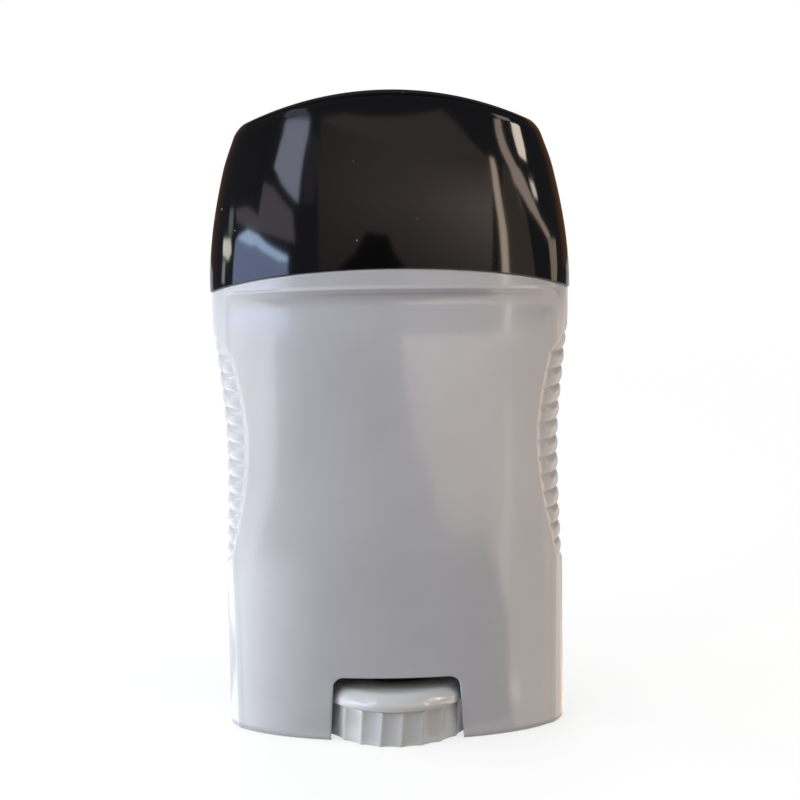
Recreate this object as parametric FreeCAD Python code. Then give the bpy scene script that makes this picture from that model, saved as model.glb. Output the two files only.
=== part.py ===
"""Empty oval twist-up stick container: body, over-cap, platform, screw spindle and turning knob.

Millimetres. X is the width, Y the depth with the front at -Y, Z is up.
The origin is the centre of the base, on the surface that the container stands on.
"""
import FreeCAD, Part
import math
import os

Vector = FreeCAD.Vector
up = Vector(0, 0, 1)

# Body: an oval tube, slightly waisted; each inset is taken off its half-width at that height.
body_half_width = 31.0
shoulder_height = 76.0
waist_inset = 1.2
waist_height = 52.0
lower_inset = 0.75
lower_height = 24.0
base_inset = 0.55
body_half_depth = 12.2
base_depth_inset = 0.8
panel_recess = 0.38
foot_bevel = 0.6

# Shoulder: the arched parting line, and the arched ledge over each label panel.
# Both arches are the top halves of flat ovals that reach a little past the body's sides.
parting_crown = 84.4
parting_rise = 7.6
ledge_drop = 3.7
ledge_rise = 3.4
arch_overreach = 2.0
panel_side_margin = 2.8

# Neck that the over-cap slides onto, and the bore inside it.
neck_rise = 4.6
neck_step_side = 1.45
neck_step_front = 1.23
neck_wall_side = 1.55
neck_wall_front = 1.05
neck_root = 2.5
bead_proud = 0.1
bead_height = 0.8
bead_below_top = 1.6

# Floor of the barrel, and the open skirt below it.
floor_top = 18.5
floor_thickness = 1.5
skirt_wall = 1.05

# Grip zone on each side: a leaf-shaped outline holding soft horizontal beads.
groove_count = 12
groove_pitch = 3.12
first_groove_height = 34.3
groove_depth = 0.45
grip_inset = 0.45
grip_end_inset = 0.12
grip_margin = 3.2
grip_half_depth_top = 5.2
grip_half_depth_widest = 6.15
grip_half_depth_bottom = 3.3
grip_widest_height = 55.0

# Over-cap: a domed oval shell that closes in towards its crown.
cap_height = 113.5
cap_overhang = 0.25
cap_straight_rise = 1.65
cap_side_closing = 7.55
cap_side_power = 1.65
cap_face_closing = 6.0
cap_face_power = 2.0
cap_crown_radius = 57.6
cap_edge_radius = 2.2
cap_crown_wall = 1.6
cap_side_wall = 1.5
neck_clearance = 0.25
cap_seat_gap = 0.15

# Screw spindle, its journal in the floor and its keyed stem.
thread_radius = 3.8
thread_root_radius = 2.6
thread_lead = 4.0
thread_crest_width = 1.2
thread_flank_width = 0.5
spindle_below_mouth = 3.0
spindle_tip_chamfer = 0.6
journal_radius = 4.5
bearing_clearance = 0.06
flange_lip = 2.0
flange_thickness = 1.2
end_play = 0.1
stem_across_flats = 5.6
stem_length = 12.0
stem_clearance = 0.03

# Turning knob.
collar_radius = 14.65
collar_top = 9.6
collar_rounding = 2.4
collar_edge = 0.5
collar_overhang = 0.4
flute_depth = 0.45
flute_count = 24
flute_start_degrees = 2.5
flute_lean_degrees = 2.2
knob_ground_clearance = 0.1
knob_wall = 1.7
knob_deck = 1.8
knob_hub_lip = 1.7
knob_rib_count = 6
knob_rib_thickness = 1.0

# Windows in the front and back of the skirt, through which the knob shows, open at the base.
window_side_clearance = 0.05
window_flare = 0.75
window_head_clearance = 2.3
window_corner_radius = 1.9

# Platform that carries the balm.
platform_clearance = 0.2
platform_height = 6.0
platform_rest_gap = 0.4
platform_rim_wall = 1.0
platform_deck = 1.4
platform_flange_clearance = 0.6
boss_wall = 2.2
boss_height = 7.0
boss_thread_clearance = 0.25
lug_rise = 2.45
lug_thickness = 1.4
lug_width = 1.8
lug_root_clearance = 0.3
slot_length = 11.0
slot_width = 1.8
slot_count = 5
slot_pitch = 3.0

# Heights and sizes that follow from the ones above.
arch_half_span = body_half_width + arch_overreach
ledge_crown = parting_crown - ledge_drop
neck_top = parting_crown + neck_rise
floor_underside = floor_top - floor_thickness
grip_top = first_groove_height + (groove_count - 1) * groove_pitch + grip_margin
grip_bottom = first_groove_height - grip_margin
band_half_depth = body_half_depth + panel_recess
neck_half_width = body_half_width - neck_step_side
neck_half_depth = band_half_depth - neck_step_front
bore_half_width = neck_half_width - neck_wall_side
bore_half_depth = neck_half_depth - neck_wall_front
socket_half_width = neck_half_width + neck_clearance
socket_half_depth = neck_half_depth + neck_clearance
skirt_half_width = body_half_width - base_inset - skirt_wall
skirt_half_depth = body_half_depth - base_depth_inset - skirt_wall
hub_top = floor_underside - end_play
hub_radius = journal_radius + knob_hub_lip
flange_bottom = floor_top + end_play
flange_top = flange_bottom + flange_thickness
flange_radius = journal_radius + flange_lip
spindle_top = neck_top - spindle_below_mouth
flute_radius = collar_radius - collar_overhang
window_height = collar_top + window_head_clearance
outside = 4.0
beyond = body_half_width + outside


def oval(half_width, half_depth, height):
    """Horizontal elliptical wire centred on the axis."""
    centre = Vector(0, 0, height)
    across = Vector(half_width, 0, height)
    along = Vector(0, half_depth, height)
    return Part.Wire(Part.Ellipse(across, along, centre).toShape())


def oval_prism(half_width, half_depth, bottom, top):
    """Straight oval solid between two heights."""
    face = Part.Face(oval(half_width, half_depth, bottom))
    return face.extrude(Vector(0, 0, top - bottom))


def disc(radius, bottom, top):
    """Vertical cylinder on the axis."""
    return Part.makeCylinder(radius, top - bottom, Vector(0, 0, bottom), up)


def smooth_mix(start, end, share):
    """Value between two others, level at both ends."""
    return start + (end - start) * share * share * (3 - 2 * share)


def half_width_at(height):
    """Half-width of the waisted body, blended between its named heights."""
    if height >= shoulder_height:
        return body_half_width
    if height >= waist_height:
        share = (height - waist_height) / (shoulder_height - waist_height)
        return body_half_width - smooth_mix(waist_inset, 0, share)
    if height >= lower_height:
        share = (height - lower_height) / (waist_height - lower_height)
        return body_half_width - smooth_mix(lower_inset, waist_inset, share)
    return body_half_width - smooth_mix(base_inset, lower_inset, height / lower_height)


def half_depth_at(height):
    """Half-depth of the label panels, which flare gently from base to shoulder."""
    share = min(height / shoulder_height, 1.0)
    return body_half_depth - base_depth_inset * (1 - share)


def body_skin(extra_depth):
    """Smooth oval skin of the body from the base to above the parting line."""
    steps = 12
    top = parting_crown + outside
    heights = [top * step / steps for step in range(steps + 1)]
    sections = [oval(half_width_at(z), half_depth_at(z) + extra_depth, z) for z in heights]
    return Part.makeLoft(sections, True, False)


def arch_height(crown, rise, x):
    """Height of a half-oval arch with its highest point on the axis, seen from the front."""
    return crown - rise * (1 - math.sqrt(1 - (x / arch_half_span) ** 2))


def front_prism(edges):
    """Solid whose outline lies in the XZ plane, run through the whole depth."""
    half = band_half_depth + outside
    face = Part.Face(Part.Wire(Part.__sortEdges__(edges)))
    face.translate(Vector(0, -half, 0))
    return face.extrude(Vector(0, 2 * half, 0))


def arch_edges(crown, rise, half_span, bottom):
    """Outline of everything under a half-oval arch, down to a level."""
    end = arch_height(crown, rise, half_span)
    left = Vector(-half_span, 0, end)
    right = Vector(half_span, 0, end)
    low_left = Vector(-half_span, 0, bottom)
    low_right = Vector(half_span, 0, bottom)
    centre = Vector(0, 0, crown - rise)
    tip = Vector(arch_half_span, 0, crown - rise)
    whole = Part.Ellipse(tip, Vector(0, 0, crown), centre)
    start = math.acos(half_span / arch_half_span)
    return [
        Part.ArcOfEllipse(whole, start, math.pi - start).toShape(),
        Part.makeLine(right, low_right),
        Part.makeLine(low_right, low_left),
        Part.makeLine(low_left, left),
    ]


def under_arch(crown, rise, half_span, bottom):
    """Prism under an arch."""
    return front_prism(arch_edges(crown, rise, half_span, bottom))


def make_outer_body():
    """Outer form: sunk label panels below the ledge, full oval above and at the upper sides."""
    panel_half_width = body_half_width - panel_side_margin
    panel_zone = under_arch(ledge_crown, ledge_rise, panel_half_width, waist_height)
    lower_zone = Part.makeBox(
        2 * beyond, 2 * beyond, waist_height + outside, Vector(-beyond, -beyond, -outside)
    )
    sunk_zone = panel_zone.fuse(lower_zone).removeSplitter()
    sunk = body_skin(0).common(sunk_zone)
    raised = body_skin(panel_recess).cut(sunk_zone)
    whole = sunk.fuse(raised)
    return whole.common(under_arch(parting_crown, parting_rise, arch_half_span, -outside))


def grip_outline():
    """Leaf-shaped face in the YZ plane: blunt at the top, tapering at the bottom."""
    top_point = Vector(0, 0, grip_top)
    bottom_point = Vector(0, 0, grip_bottom)
    upper = grip_top - grip_margin
    lower = grip_bottom + grip_margin / 2
    corners = [(side * grip_half_depth_top, side * grip_half_depth_bottom) for side in (1, -1)]
    right_top = Vector(0, corners[0][0], upper)
    left_top = Vector(0, corners[1][0], upper)
    right_low = Vector(0, corners[0][1], lower)
    left_low = Vector(0, corners[1][1], lower)
    right_wide = Vector(0, grip_half_depth_widest, grip_widest_height)
    left_wide = Vector(0, -grip_half_depth_widest, grip_widest_height)
    edges = [
        Part.Arc(left_top, top_point, right_top).toShape(),
        Part.Arc(right_top, right_wide, right_low).toShape(),
        Part.Arc(right_low, bottom_point, left_low).toShape(),
        Part.Arc(left_low, left_wide, left_top).toShape(),
    ]
    return Part.Face(Part.Wire(edges))


def grip_inset_at(height):
    """How far the beads sit inside the body's side, least at both ends of the grip."""
    share = (height - grip_bottom) / (grip_top - grip_bottom)
    swell = math.sin(math.pi * min(max(share, 0.0), 1.0))
    return grip_end_inset + (grip_inset - grip_end_inset) * swell


def beaded_core():
    """Oval column whose sides swell into a bead between each pair of grooves."""
    sections = []
    half_pitches = 2 * groove_count + 3
    start = first_groove_height - 2 * groove_pitch
    for step in range(half_pitches + 2):
        z = start + step * groove_pitch / 2
        is_groove = step % 2 == 0 and 4 <= step <= half_pitches - 1
        depth = grip_inset_at(z) + (groove_depth if is_groove else 0)
        sections.append(oval(half_width_at(z) - depth, half_depth_at(z), z))
    return Part.makeLoft(sections, True, False)


def cut_grips(body):
    """Sink the beaded grip zone into both sides."""
    core = beaded_core()
    leaf = grip_outline()
    inner = bore_half_width / 2
    for side in (1, -1):
        prism = leaf.copy()
        prism.translate(Vector(side * inner, 0, 0))
        prism = prism.extrude(Vector(side * (beyond - inner), 0, 0))
        body = body.cut(prism.cut(core))
    return body


def knob_crossing():
    """Where the knob's round edge passes the inside of the oval skirt, measured along X."""
    flatness = (skirt_half_depth / skirt_half_width) ** 2
    return math.sqrt((collar_radius ** 2 - skirt_half_depth ** 2) / (1 - flatness))


def window_prism():
    """Both windows: one flared opening through the skirt, rounded at its upper corners."""
    half_top = knob_crossing() + window_side_clearance
    half_base = half_top + window_flare
    corners = [
        Vector(-half_base, 0, -outside),
        Vector(half_base, 0, -outside),
        Vector(half_base, 0, 0),
        Vector(half_top, 0, window_height),
        Vector(-half_top, 0, window_height),
        Vector(-half_base, 0, 0),
    ]
    half = band_half_depth + outside
    face = Part.Face(Part.makePolygon(corners + corners[:1]))
    face.translate(Vector(0, -half, 0))
    prism = face.extrude(Vector(0, 2 * half, 0))
    upper = [
        edge
        for edge in prism.Edges
        if edge.BoundBox.ZLength < 0.001 and abs(edge.BoundBox.ZMin - window_height) < 0.001
        and edge.BoundBox.YLength > half
    ]
    return prism.makeFillet(window_corner_radius, upper)


def make_neck():
    """Oval neck with the low bead that the over-cap clicks past."""
    neck_bottom = arch_height(parting_crown, parting_rise, body_half_width) - neck_root
    neck = oval_prism(neck_half_width, neck_half_depth, neck_bottom, neck_top)
    bead_top = neck_top - bead_below_top
    bead = oval_prism(
        neck_half_width + bead_proud, neck_half_depth + bead_proud, bead_top - bead_height, bead_top
    )
    return neck.fuse(bead)


def ease_foot(body):
    """Bevel the outer edge that the body stands on."""
    half_width = half_width_at(0)
    half_depth = half_depth_at(0)
    inner = oval(half_width - foot_bevel, half_depth - foot_bevel, 0)
    outer = oval(half_width + foot_bevel, half_depth + foot_bevel, 2 * foot_bevel)
    cone = Part.makeLoft([inner, outer], True, True)
    around = oval_prism(beyond, beyond, 0, 2 * foot_bevel)
    return body.cut(around.cut(cone))


def make_body():
    """Barrel, floor with its bearing, open skirt, windows, grips, shoulder and neck in one moulding."""
    body = cut_grips(ease_foot(make_outer_body()))
    body = body.fuse(make_neck())
    body = body.cut(oval_prism(bore_half_width, bore_half_depth, floor_top, neck_top + outside))
    body = body.cut(oval_prism(skirt_half_width, skirt_half_depth, -outside, floor_underside))
    body = body.cut(disc(journal_radius + bearing_clearance, floor_underside - 1, floor_top + 1))
    return body.cut(window_prism())


def cap_skin(inset_side, bottom):
    """Sides of the over-cap: oval sections that close in by a power of the height."""
    half_width = body_half_width + cap_overhang - inset_side
    half_depth = band_half_depth + cap_overhang - inset_side
    straight_top = arch_height(parting_crown, parting_rise, body_half_width) + cap_straight_rise
    steps = 8
    sections = [oval(half_width, half_depth, bottom)]
    for step in range(steps + 1):
        share = step / steps
        z = straight_top + (cap_height + 1 - straight_top) * share
        width = half_width - cap_side_closing * share ** cap_side_power
        depth = half_depth - cap_face_closing * share ** cap_face_power
        sections.append(oval(width, depth, z))
    return Part.makeLoft(sections, True, False)


def dome(radius, apex):
    """Sphere whose top touches the apex."""
    return Part.makeSphere(radius, Vector(0, 0, apex - radius))


def rim_edges(solid, sphere_radius, sphere_apex):
    """Edges of a capped column that lie on the crowning sphere."""
    centre = Vector(0, 0, sphere_apex - sphere_radius)
    found = []
    for edge in solid.Edges:
        middle = edge.valueAt((edge.FirstParameter + edge.LastParameter) / 2)
        start = edge.valueAt(edge.FirstParameter)
        off_middle = abs(middle.distanceToPoint(centre) - sphere_radius)
        off_start = abs(start.distanceToPoint(centre) - sphere_radius)
        if off_middle < 0.01 and off_start < 0.01:
            found.append(edge)
    return found


def make_cap():
    """Over-cap: domed shell, arched at its lower edge to match the shoulder."""
    bottom = arch_height(parting_crown, parting_rise, body_half_width) - outside
    outer = cap_skin(0, bottom).common(dome(cap_crown_radius, cap_height))
    outer = outer.makeFillet(cap_edge_radius, rim_edges(outer, cap_crown_radius, cap_height))
    hollow = cap_skin(cap_side_wall, bottom)
    hollow = hollow.common(dome(cap_crown_radius - cap_crown_wall, cap_height - cap_crown_wall))
    hollow = hollow.common(oval_prism(socket_half_width, socket_half_depth, bottom - 1, cap_height))
    socket = oval_prism(socket_half_width, socket_half_depth, bottom - 1, neck_top + neck_clearance)
    shell = outer.cut(hollow).cut(socket)
    below = under_arch(parting_crown + cap_seat_gap, parting_rise, arch_half_span, bottom - outside)
    return shell.cut(below)


def thread_section(height):
    """Cross-section of a one-start thread: root arc, rising spiral, crest arc, falling spiral."""
    to_angle = 2 * math.pi / thread_lead
    crest = thread_crest_width * to_angle
    flank = thread_flank_width * to_angle
    root = 2 * math.pi - crest - 2 * flank

    def at(radius, angle):
        return Vector(radius * math.cos(angle), radius * math.sin(angle), height)

    def arc(radius, start, sweep):
        return Part.Arc(
            at(radius, start), at(radius, start + sweep / 2), at(radius, start + sweep)
        ).toShape()

    def spiral(radius_from, radius_to, start):
        count = 6
        points = []
        for step in range(count + 1):
            share = step / count
            radius = radius_from + (radius_to - radius_from) * share
            points.append(at(radius, start + flank * share))
        curve = Part.BSplineCurve()
        curve.interpolate(points)
        return curve.toShape()

    first = root / 2
    return Part.Wire([
        arc(thread_root_radius, -first, root),
        spiral(thread_root_radius, thread_radius, first),
        arc(thread_radius, first + flank, crest),
        spiral(thread_radius, thread_root_radius, first + flank + crest),
    ])


def make_thread(bottom, top):
    """Left-hand screw: the section carried up the axis while it turns once per lead."""
    length = top - bottom
    spine = Part.Wire(Part.makeLine(Vector(0, 0, bottom), Vector(0, 0, top)))
    guide = Part.makeHelix(thread_lead, length, thread_radius, 0, True)
    guide.translate(Vector(0, 0, bottom))
    sweep = Part.BRepOffsetAPI.MakePipeShell(spine)
    sweep.setAuxiliarySpine(Part.Wire(guide.Edges), True, 0)
    sweep.add(thread_section(bottom))
    sweep.build()
    sweep.makeSolid()
    return sweep.shape()


def hexagon_prism(across_flats, bottom, top):
    """Six-sided stem on the axis."""
    radius = across_flats / math.sqrt(3)
    corners = []
    for side in range(6):
        angle = side * math.pi / 3
        corners.append(Vector(radius * math.cos(angle), radius * math.sin(angle), bottom))
    face = Part.Face(Part.makePolygon(corners + corners[:1]))
    return face.extrude(Vector(0, 0, top - bottom))


def make_spindle():
    """Screw spindle: keyed stem, journal through the floor, retaining flange and thread."""
    stem = hexagon_prism(stem_across_flats, hub_top - stem_length, hub_top)
    journal = disc(journal_radius, hub_top, flange_bottom)
    flange = disc(flange_radius, flange_bottom, flange_top)
    thread = make_thread(flange_top, spindle_top)
    length = spindle_top - flange_top
    tip_radius = thread_radius - spindle_tip_chamfer
    tip_cone = Part.makeCone(tip_radius + length, tip_radius, length, Vector(0, 0, flange_top), up)
    return thread.common(tip_cone).fuse(flange).fuse(journal).fuse(stem)


def fluted_section(height, turn):
    """Scalloped outline: shallow concave arcs meeting at narrow ridges."""
    step = 2 * math.pi / flute_count
    edges = []
    for index in range(flute_count):
        start = turn + index * step
        points = []
        for share, radius in (
            (0, flute_radius), (0.5, flute_radius - flute_depth), (1, flute_radius)
        ):
            angle = start + share * step
            points.append(Vector(radius * math.cos(angle), radius * math.sin(angle), height))
        edges.append(Part.Arc(*points).toShape())
    return Part.Wire(edges)


def make_knob():
    """Knob: rounded collar over a fluted skirt, hollow below, with a ribbed hub that holds the stem."""
    bottom = knob_ground_clearance
    collar_bottom = collar_top - collar_rounding - collar_edge
    start = math.radians(flute_start_degrees)
    end = math.radians(flute_start_degrees + flute_lean_degrees)
    skirt = Part.makeLoft([fluted_section(bottom, start), fluted_section(collar_bottom, end)], True, True)
    collar = disc(collar_radius, collar_bottom, collar_top)
    top_edge = [edge for edge in collar.Edges if abs(edge.BoundBox.ZMin - collar_top) < 0.001]
    collar = collar.makeFillet(collar_rounding, top_edge)
    knob = skirt.fuse(collar)
    cavity_radius = flute_radius - flute_depth - knob_wall
    deck_underside = collar_top - knob_deck
    knob = knob.cut(disc(cavity_radius, bottom - 1, deck_underside))
    knob = knob.fuse(disc(hub_radius, bottom + knob_wall, hub_top))
    for index in range(knob_rib_count):
        rib = Part.makeBox(
            cavity_radius + knob_wall / 2, knob_rib_thickness, deck_underside - bottom - knob_wall,
            Vector(0, -knob_rib_thickness / 2, bottom + knob_wall),
        )
        rib.rotate(Vector(0, 0, 0), up, (index + 0.5) * 360 / knob_rib_count)
        knob = knob.fuse(rib)
    socket = hexagon_prism(
        stem_across_flats + 2 * stem_clearance, hub_top - stem_length, hub_top + 1
    )
    return knob.cut(socket)


def groove_height(angle, near):
    """Height of the middle of the spindle's groove on one side of it, closest to a given height."""
    raw = flange_top - thread_lead * angle / (2 * math.pi)
    return raw + thread_lead * round((near - raw) / thread_lead)


def make_lug(angle, near):
    """Short tooth inside the boss that rides in the spindle's groove."""
    reach = thread_radius + boss_thread_clearance + boss_wall / 2
    start = thread_root_radius + lug_root_clearance
    lug = Part.makeBox(
        reach - start, lug_width, lug_thickness, Vector(start, -lug_width / 2, -lug_thickness / 2)
    )
    middle = (thread_root_radius + thread_radius) / 2
    lean = math.degrees(math.atan(thread_lead / (2 * math.pi * middle)))
    lug.rotate(Vector(0, 0, 0), Vector(1, 0, 0), -lean)
    lug.rotate(Vector(0, 0, 0), up, math.degrees(angle))
    lug.translate(Vector(0, 0, groove_height(angle, near)))
    return lug


def make_platform():
    """Platform: oval wiper rim, slotted deck and a threaded boss that climbs the spindle."""
    half_width = bore_half_width - platform_clearance
    half_depth = bore_half_depth - platform_clearance
    bottom = floor_top + platform_rest_gap
    deck_bottom = flange_top + platform_flange_clearance
    rim = oval_prism(half_width, half_depth, bottom, bottom + platform_height)
    inner_width = half_width - platform_rim_wall
    inner_depth = half_depth - platform_rim_wall
    rim = rim.cut(oval_prism(inner_width, inner_depth, bottom - 1, bottom + platform_height + 1))
    deck = oval_prism(half_width - platform_rim_wall / 2, half_depth - platform_rim_wall / 2,
                      deck_bottom, deck_bottom + platform_deck)
    platform = rim.fuse(deck)
    boss_bore = thread_radius + boss_thread_clearance
    platform = platform.fuse(disc(boss_bore + boss_wall, deck_bottom, deck_bottom + boss_height))
    platform = platform.cut(disc(boss_bore, deck_bottom - 1, deck_bottom + boss_height + 1))
    middle = deck_bottom + lug_rise
    for angle in (0, math.pi):
        platform = platform.fuse(make_lug(angle, middle))
    for side in (1, -1):
        for index in range(slot_count):
            x = side * (boss_bore + boss_wall + slot_width + index * slot_pitch)
            length = slot_length * math.sqrt(1 - (abs(x) / half_width) ** 2)
            slot = Part.makeBox(
                slot_width, length, platform_deck + 2,
                Vector(x - slot_width / 2, -length / 2, deck_bottom - 1),
            )
            platform = platform.cut(slot)
    return platform


def save(name, solid):
    """Write one piece, checked to be a single sound solid."""
    solid = solid.removeSplitter()
    if len(solid.Solids) != 1 or not solid.isValid():
        raise ValueError(name + " is not one valid solid")
    box = solid.BoundBox
    print(name, len(solid.Faces), "faces, volume", round(solid.Volume, 1),
          "z", round(box.ZMin, 2), round(box.ZMax, 2))
    solid.Solids[0].exportStep("parts/" + name + ".step")


os.makedirs("parts", exist_ok=True)
save("body", make_body())
save("over_cap", make_cap())
save("spindle", make_spindle())
save("knob", make_knob())
save("platform", make_platform())
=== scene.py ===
import math

import bmesh
import bpy
import numpy as np
from mathutils import Euler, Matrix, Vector


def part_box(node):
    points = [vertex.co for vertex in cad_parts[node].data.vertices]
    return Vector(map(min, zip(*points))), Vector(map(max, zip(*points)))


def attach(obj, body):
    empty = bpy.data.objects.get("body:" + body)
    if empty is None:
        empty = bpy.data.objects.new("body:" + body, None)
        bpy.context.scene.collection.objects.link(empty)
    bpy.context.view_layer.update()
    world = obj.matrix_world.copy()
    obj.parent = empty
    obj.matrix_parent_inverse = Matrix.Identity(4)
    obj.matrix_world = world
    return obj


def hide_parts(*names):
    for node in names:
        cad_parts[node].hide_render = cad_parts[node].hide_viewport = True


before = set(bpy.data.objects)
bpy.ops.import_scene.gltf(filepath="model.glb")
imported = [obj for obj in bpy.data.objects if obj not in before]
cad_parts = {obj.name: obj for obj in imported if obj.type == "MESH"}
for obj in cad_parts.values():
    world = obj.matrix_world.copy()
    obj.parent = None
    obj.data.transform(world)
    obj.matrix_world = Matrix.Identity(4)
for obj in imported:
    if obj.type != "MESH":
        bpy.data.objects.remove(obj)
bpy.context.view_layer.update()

print("frame loaded")
mm = 0.001


def addMesh(name, points, faces, weld=0.002):
    # a mesh from whole arrays in millimetres: points closer than weld are joined, faces turned outwards
    mesh = bpy.data.meshes.new(name)
    mesh.vertices.add(len(points))
    mesh.vertices.foreach_set("co", (points * mm).astype(np.float32).ravel())
    mesh.loops.add(faces.size)
    mesh.loops.foreach_set("vertex_index", faces.astype(np.int32).ravel())
    mesh.polygons.add(len(faces))
    mesh.polygons.foreach_set("loop_start", np.arange(0, faces.size, 4, dtype=np.int32))
    mesh.update(calc_edges=True)
    work = bmesh.new()
    work.from_mesh(mesh)
    bmesh.ops.remove_doubles(work, verts=work.verts, dist=weld * mm)
    bmesh.ops.recalc_face_normals(work, faces=work.faces)
    work.to_mesh(mesh)
    openEdges = sum(1 for edge in work.edges if not edge.is_manifold)
    work.free()
    mesh.polygons.foreach_set("use_smooth", np.full(len(mesh.polygons), True))
    piece = bpy.data.objects.new(name, mesh)
    bpy.context.collection.objects.link(piece)
    print(name, len(mesh.polygons), "faces,", openEdges, "open edges")
    return piece


def gridFaces(rows, columns, closed=False, start=0):
    # quads between neighbouring rows and columns of a grid, wrapping round its columns when closed
    steps = columns if closed else columns - 1
    row, column = np.meshgrid(np.arange(rows - 1), np.arange(steps), indexing="ij")
    across = (column + 1) % columns
    low, high = row * columns, (row + 1) * columns
    corners = [low + column, low + across, high + across, high + column]
    return np.stack(corners, axis=-1).reshape(-1, 4) + start


def joinGrids(grids):
    # several grids, each (rows, columns, 3) with a closed flag, as one list of points and one of quads
    points, faces, start = [], [], 0
    for grid, closed in grids:
        rows, columns = grid.shape[:2]
        points.append(grid.reshape(-1, 3))
        faces.append(gridFaces(rows, columns, closed, start))
        start += rows * columns
    return np.concatenate(points), np.concatenate(faces)


def smoothStep(low, high, value):
    # 0 below low, 1 above high, with a level start and end
    share = np.clip((value - low) / (high - low), 0, 1)
    return share * share * (3 - 2 * share)


def roundCorner(radius, turn):
    # how far a rounded corner lies inside its two faces, at a share of its quarter turn
    return radius * (1 - math.cos(turn * math.pi / 2)), radius * (1 - math.sin(turn * math.pi / 2))


def stack(x, y, z):
    # three arrays of one shape, or numbers, as points
    return np.stack(np.broadcast_arrays(x, y, z), axis=-1).astype(float)


def archHeight(crown, rise, halfSpan, x):
    # height of a half-oval arch with its top on the axis, seen from the front
    return crown - rise * (1 - np.sqrt(1 - np.minimum(np.abs(x) / halfSpan, 1) ** 2))


# body: an oval tube with sunk label panels, beaded grips, windows at the foot and a neck
bodyHigh = np.array(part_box("body")[1]) / mm
body = {
    "halfWidth": bodyHigh[0], "shoulderHeight": 76.0,
    "waistInset": 1.2, "waistHeight": 52.0, "lowerInset": 0.75, "lowerHeight": 24.0, "baseInset": 0.55,
    "halfDepth": bodyHigh[1] - 0.38, "baseDepthInset": 0.8, "panelRecess": 0.38, "footRadius": 0.75,
    "partingCrown": bodyHigh[2] - 4.6, "partingRise": 7.6, "ledgeDrop": 3.7, "ledgeRise": 3.4,
    "archHalfSpan": bodyHigh[0] + 2.0,
    "ledgeCove": 2.6, "coveCurve": 2.2, "coveDip": 0.3, "dipReach": (0.8, 8.8), "borderEase": (-0.1, 0.7),
    "ledgeRoll": 0.22, "sideRoll": 0.09, "rollWidth": 0.34, "rollOutwards": 0.45, "panelCorner": 0.9,
    "panelSideMargin": 2.8, "shoulderEdge": 0.25,
    "neckStepSide": 1.45, "neckStepFront": 1.23, "neckWallSide": 1.55, "neckWallFront": 1.05,
    "beadProud": 0.1, "beadBelowTop": 2.0, "lipRadius": 0.35,
    "floorTop": 18.5, "floorUnderside": 17.0, "floorFillet": (0.3, 0.12), "bearingRadius": 4.56,
    "skirtWall": 1.05,
    "grooveCount": 12, "groovePitch": 3.12, "firstGroove": 34.3, "grooveDepth": 0.45,
    "gripInset": 0.45, "gripEndInset": 0.12, "gripMargin": 3.2, "beadEnd": 1.6,
    "beadCurve": 2.2, "beadRounding": 0.7, "gripEase": (-0.6, 0.3), "gripFromX": 20,
    "gripHalfDepths": (3.3, 6.15, 5.2), "gripWidestHeight": 55.0,
    "windowHalfTop": 11.15, "windowFlare": 0.75, "windowHeight": 11.9, "windowCorner": 1.9,
    "windowEdge": 0.22, "sinkDepth": 0.02, "sinkBelowFloor": 0.75, "sinkSpread": 1.3, "sideCrowding": 0.12,
    "columns": 340, "notchColumns": 21, "notchHeight": 14.0,
}
body["neckTop"] = bodyHigh[2]
body["bandDepth"] = body["halfDepth"] + body["panelRecess"]
body["neckHalf"] = (body["halfWidth"] - body["neckStepSide"], body["bandDepth"] - body["neckStepFront"])
body["boreHalf"] = (body["neckHalf"][0] - body["neckWallSide"], body["neckHalf"][1] - body["neckWallFront"])
body["skirtHalf"] = (body["halfWidth"] - body["baseInset"] - body["skirtWall"],
                     body["halfDepth"] - body["baseDepthInset"] - body["skirtWall"])


def columnAngle(index):
    # angle of a column of the body's grid, closer together at the sides, where the grips are
    turn = index * 2 * math.pi / body["columns"]
    return turn + body["sideCrowding"] * np.sin(2 * turn)


def bodyHalfWidth(z):
    # half-width blended smoothly between the base, the lower swell, the waist and the shoulder
    base, lower, waist = body["baseInset"], body["lowerInset"], body["waistInset"]
    low = base + (lower - base) * smoothStep(0, body["lowerHeight"], z)
    middle = (waist - lower) * smoothStep(body["lowerHeight"], body["waistHeight"], z)
    high = waist * smoothStep(body["waistHeight"], body["shoulderHeight"], z)
    return body["halfWidth"] - low - middle + high


def bodyHalfDepth(z):
    # half-depth of the sunk panels, flaring straight up to the shoulder
    return body["halfDepth"] - body["baseDepthInset"] * (1 - np.minimum(z / body["shoulderHeight"], 1))


def ledgeHeight(x):
    return archHeight(body["partingCrown"] - body["ledgeDrop"], body["ledgeRise"], body["archHalfSpan"], x)


def partingHeight(x):
    return archHeight(body["partingCrown"], body["partingRise"], body["archHalfSpan"], x)


def circleThrough(first, second, third):
    # centre and radius of the circle through three points
    (ax, ay), (bx, by), (cx, cy) = first, second, third
    doubled = 2 * (ax * (by - cy) + bx * (cy - ay) + cx * (ay - by))
    a2, b2, c2 = ax ** 2 + ay ** 2, bx ** 2 + by ** 2, cx ** 2 + cy ** 2
    centreX = (a2 * (by - cy) + b2 * (cy - ay) + c2 * (ay - by)) / doubled
    centreY = (a2 * (cx - bx) + b2 * (ax - cx) + c2 * (bx - ax)) / doubled
    return centreX, centreY, math.hypot(ax - centreX, ay - centreY)


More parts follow.
